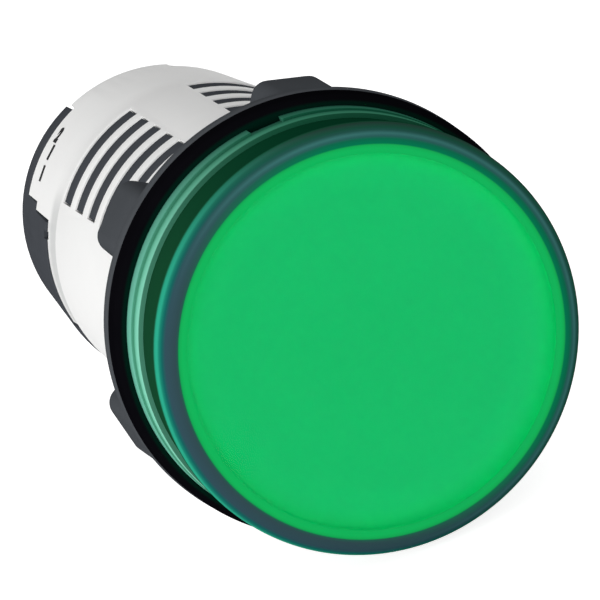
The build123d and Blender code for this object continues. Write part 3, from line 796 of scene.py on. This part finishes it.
body_start_y = 10.6
body_end_y = 20.1
lacquer, made, links, shader = paint("resistor_body")
along, _, _ = place_on_ring(made, links)
links.new(colours_along(made, links, along, [
    (body_start_y, (120, 136, 142)), (12.1, (96, 58, 36)), (12.6, (120, 136, 142)), (13.5, (30, 30, 32)),
    (14.0, (120, 136, 142)), (14.9, (168, 60, 40)), (15.4, (120, 136, 142)), (17.6, (176, 146, 60)),
    (18.1, (120, 136, 142)), (body_end_y, (120, 136, 142))], "CONSTANT"), shader.inputs["Base Color"])
moulded_skin(made, links, shader, gloss=0.3, spread=0.1, grain=5000, cloud=500, depth=0.01)
for name in ("left", "right"):
    resistor = edged_copy("dropper_resistor_" + name, "dropper_resistor_body_" + name, 0.05)
    finish_piece(resistor, lacquer, "lamp", "resistor_body", "dropper_resistor_" + name)
    paint_faces(resistor, tinned, lambda c: not body_start_y < c.y < body_end_y)

package_black = moulded_plastic("package_black", (20, 20, 22), (30, 30, 32), gloss=0.55, shine=0.3)
pale_mark = moulded_plastic("pale_mark", (188, 190, 192), (206, 208, 210), gloss=0.5, shine=0.2)
rectifier = edged_copy("rectifier", "rectifier_package", 0.08)
finish_piece(rectifier, package_black, "lamp", "package_black", "rectifier")
stripe = new_box("rectifier_stripe", (-2.6, 5.5, -3.43), (2.6, 6.1, -3.4), 0.005)
finish_piece(stripe, pale_mark, "lamp", "package_black")
leg = new_box("rectifier_leg", (0, 0, -1.15), (0.7, 0.9, -0.8), 0.06)
leg_places = ((-3.8, 5.7), (-3.8, 11.1), (3.1, 5.7), (3.1, 11.1))
for number, (x, y) in enumerate(leg_places):
    foot = copy_to(leg, "rectifier_leg_%d" % (number + 1), (x, y, 0))
    finish_piece(foot, tinned, "lamp", "package_black")
bpy.data.objects.remove(leg)

sleeve_dark, made, links, shader = paint("capacitor_sleeve")
place = made.new("ShaderNodeTexCoord")
across = made.new("ShaderNodeSeparateXYZ")
links.new(place.outputs["Object"], across.inputs["Vector"])
across_mm = made.new("ShaderNodeMath")
across_mm.operation = "MULTIPLY"
across_mm.inputs[1].default_value = 1 / mm
links.new(across.outputs["X"], across_mm.inputs[0])
stripe_here = between(made, links, across_mm.outputs[0], 1.75, 1.8)
links.new(mix_colours(made, links, stripe_here, linear(36, 40, 52), linear(190, 192, 196)),
          shader.inputs["Base Color"])
moulded_skin(made, links, shader, gloss=0.3, spread=0.08, grain=5000, cloud=400, depth=0.01)
can_end = metal("capacitor_end", (176, 178, 180), (196, 198, 200), gloss=0.35)
capacitor = edged_copy("smoothing_capacitor", "smoothing_capacitor_can", 0.12)
finish_piece(capacitor, sleeve_dark, "lamp", "capacitor_sleeve", "smoothing_capacitor")
sleeve_end_y = 25.6
leads_end_y = 14.78
paint_faces(capacitor, can_end, lambda c: c.y > sleeve_end_y)
paint_faces(capacitor, tinned, lambda c: c.y < leads_end_y)

absorber_blue = moulded_plastic("absorber_blue", (24, 62, 138), (32, 74, 152), gloss=0.25, spread=0.1,
                                grain=3000, cloud=200, depth=0.03)
absorber = edged_copy("surge_absorber", "surge_absorber_disc", 0.25, 3)
finish_piece(absorber, absorber_blue, "lamp", "absorber_blue", "surge_absorber")
coating_end_z = 1.6
paint_faces(absorber, tinned, lambda c: c.z < coating_end_z)


# Screw terminals
# In each chamber a brass strip with a bent leg to the board, a plated steel saddle that clamps the wire
# against it, and a plated screw with a slot and a cross. The saddle rides on the screw.

brass = metal("contact_brass", (196, 162, 92), (216, 184, 112), gloss=0.3)
plated = metal("saddle_steel", (188, 190, 190), (210, 212, 212), gloss=0.32)
screw_plated = metal("screw_steel", (190, 190, 186), (214, 214, 210), gloss=0.26)
# Painted shade and dirt: the floor of each screw slot is painted dark, for the recess and the grime in it.
slot_dirt_and_shade = metal("screw_slot_floor", (66, 66, 64), (92, 92, 88), gloss=0.5)
slot_floor_y = 38.7
terminal_x = 4.809

screw = turn_outline("terminal_screw", [
    (0, 32.95), (1.05, 32.95), (1.3, 33.25), (1.3, 37.35), (1.52, 37.45), (1.52, 37.7), (2.5, 37.7),
    (2.56, 37.78), (2.56, 38.75), (2.48, 39.05), (2.2, 39.32), (1.7, 39.5), (0.9, 39.58), (0, 39.59)], 96)
for slot_length, slot_width in ((6.0, 0.7), (0.7, 3.0)):
    bpy.ops.object.select_all(action="DESELECT")
    bpy.ops.mesh.primitive_cube_add(size=1, location=(0, (slot_floor_y + 1) * mm, 0))
    slot_cutter = bpy.context.object
    bpy.ops.transform.resize(value=(slot_width * mm, 2 * mm, slot_length * mm))
    apply_modifier(screw, "BOOLEAN", operation="DIFFERENCE", object=slot_cutter, solver="EXACT")
    bpy.data.objects.remove(slot_cutter)
break_edges(screw, 0.05)
screw_thread = wind_thread("screw_thread", 1.25, 1.5, first_y=33.1, pitch=0.5, turns=8, steps=48)
for name, x in (("left", -terminal_x), ("right", terminal_x)):
    strip = edged_copy("contact_strip_" + name, "contact_strip_bent_" + name, 0.08)
    finish_piece(strip, brass, "lamp", "contact_brass", "contact_strip_" + name)
    saddle = edged_copy("clamp_saddle_" + name, "clamp_saddle_plate_" + name, 0.1)
    finish_piece(saddle, plated, "saddle_" + name, "saddle_steel", "clamp_saddle_" + name)
    for part, part_name in ((screw, "terminal_screw_body_"), (screw_thread, "terminal_screw_thread_")):
        turned_part = copy_to(part, part_name + name, (x, 0, 0))
        finish_piece(turned_part, screw_plated, "screw_" + name, "screw_steel", "terminal_screw_" + name)
        if part is screw:
            paint_faces(turned_part, slot_dirt_and_shade, lambda c: abs(c.y - slot_floor_y) < 0.03)
bpy.data.objects.remove(screw)
bpy.data.objects.remove(screw_thread)
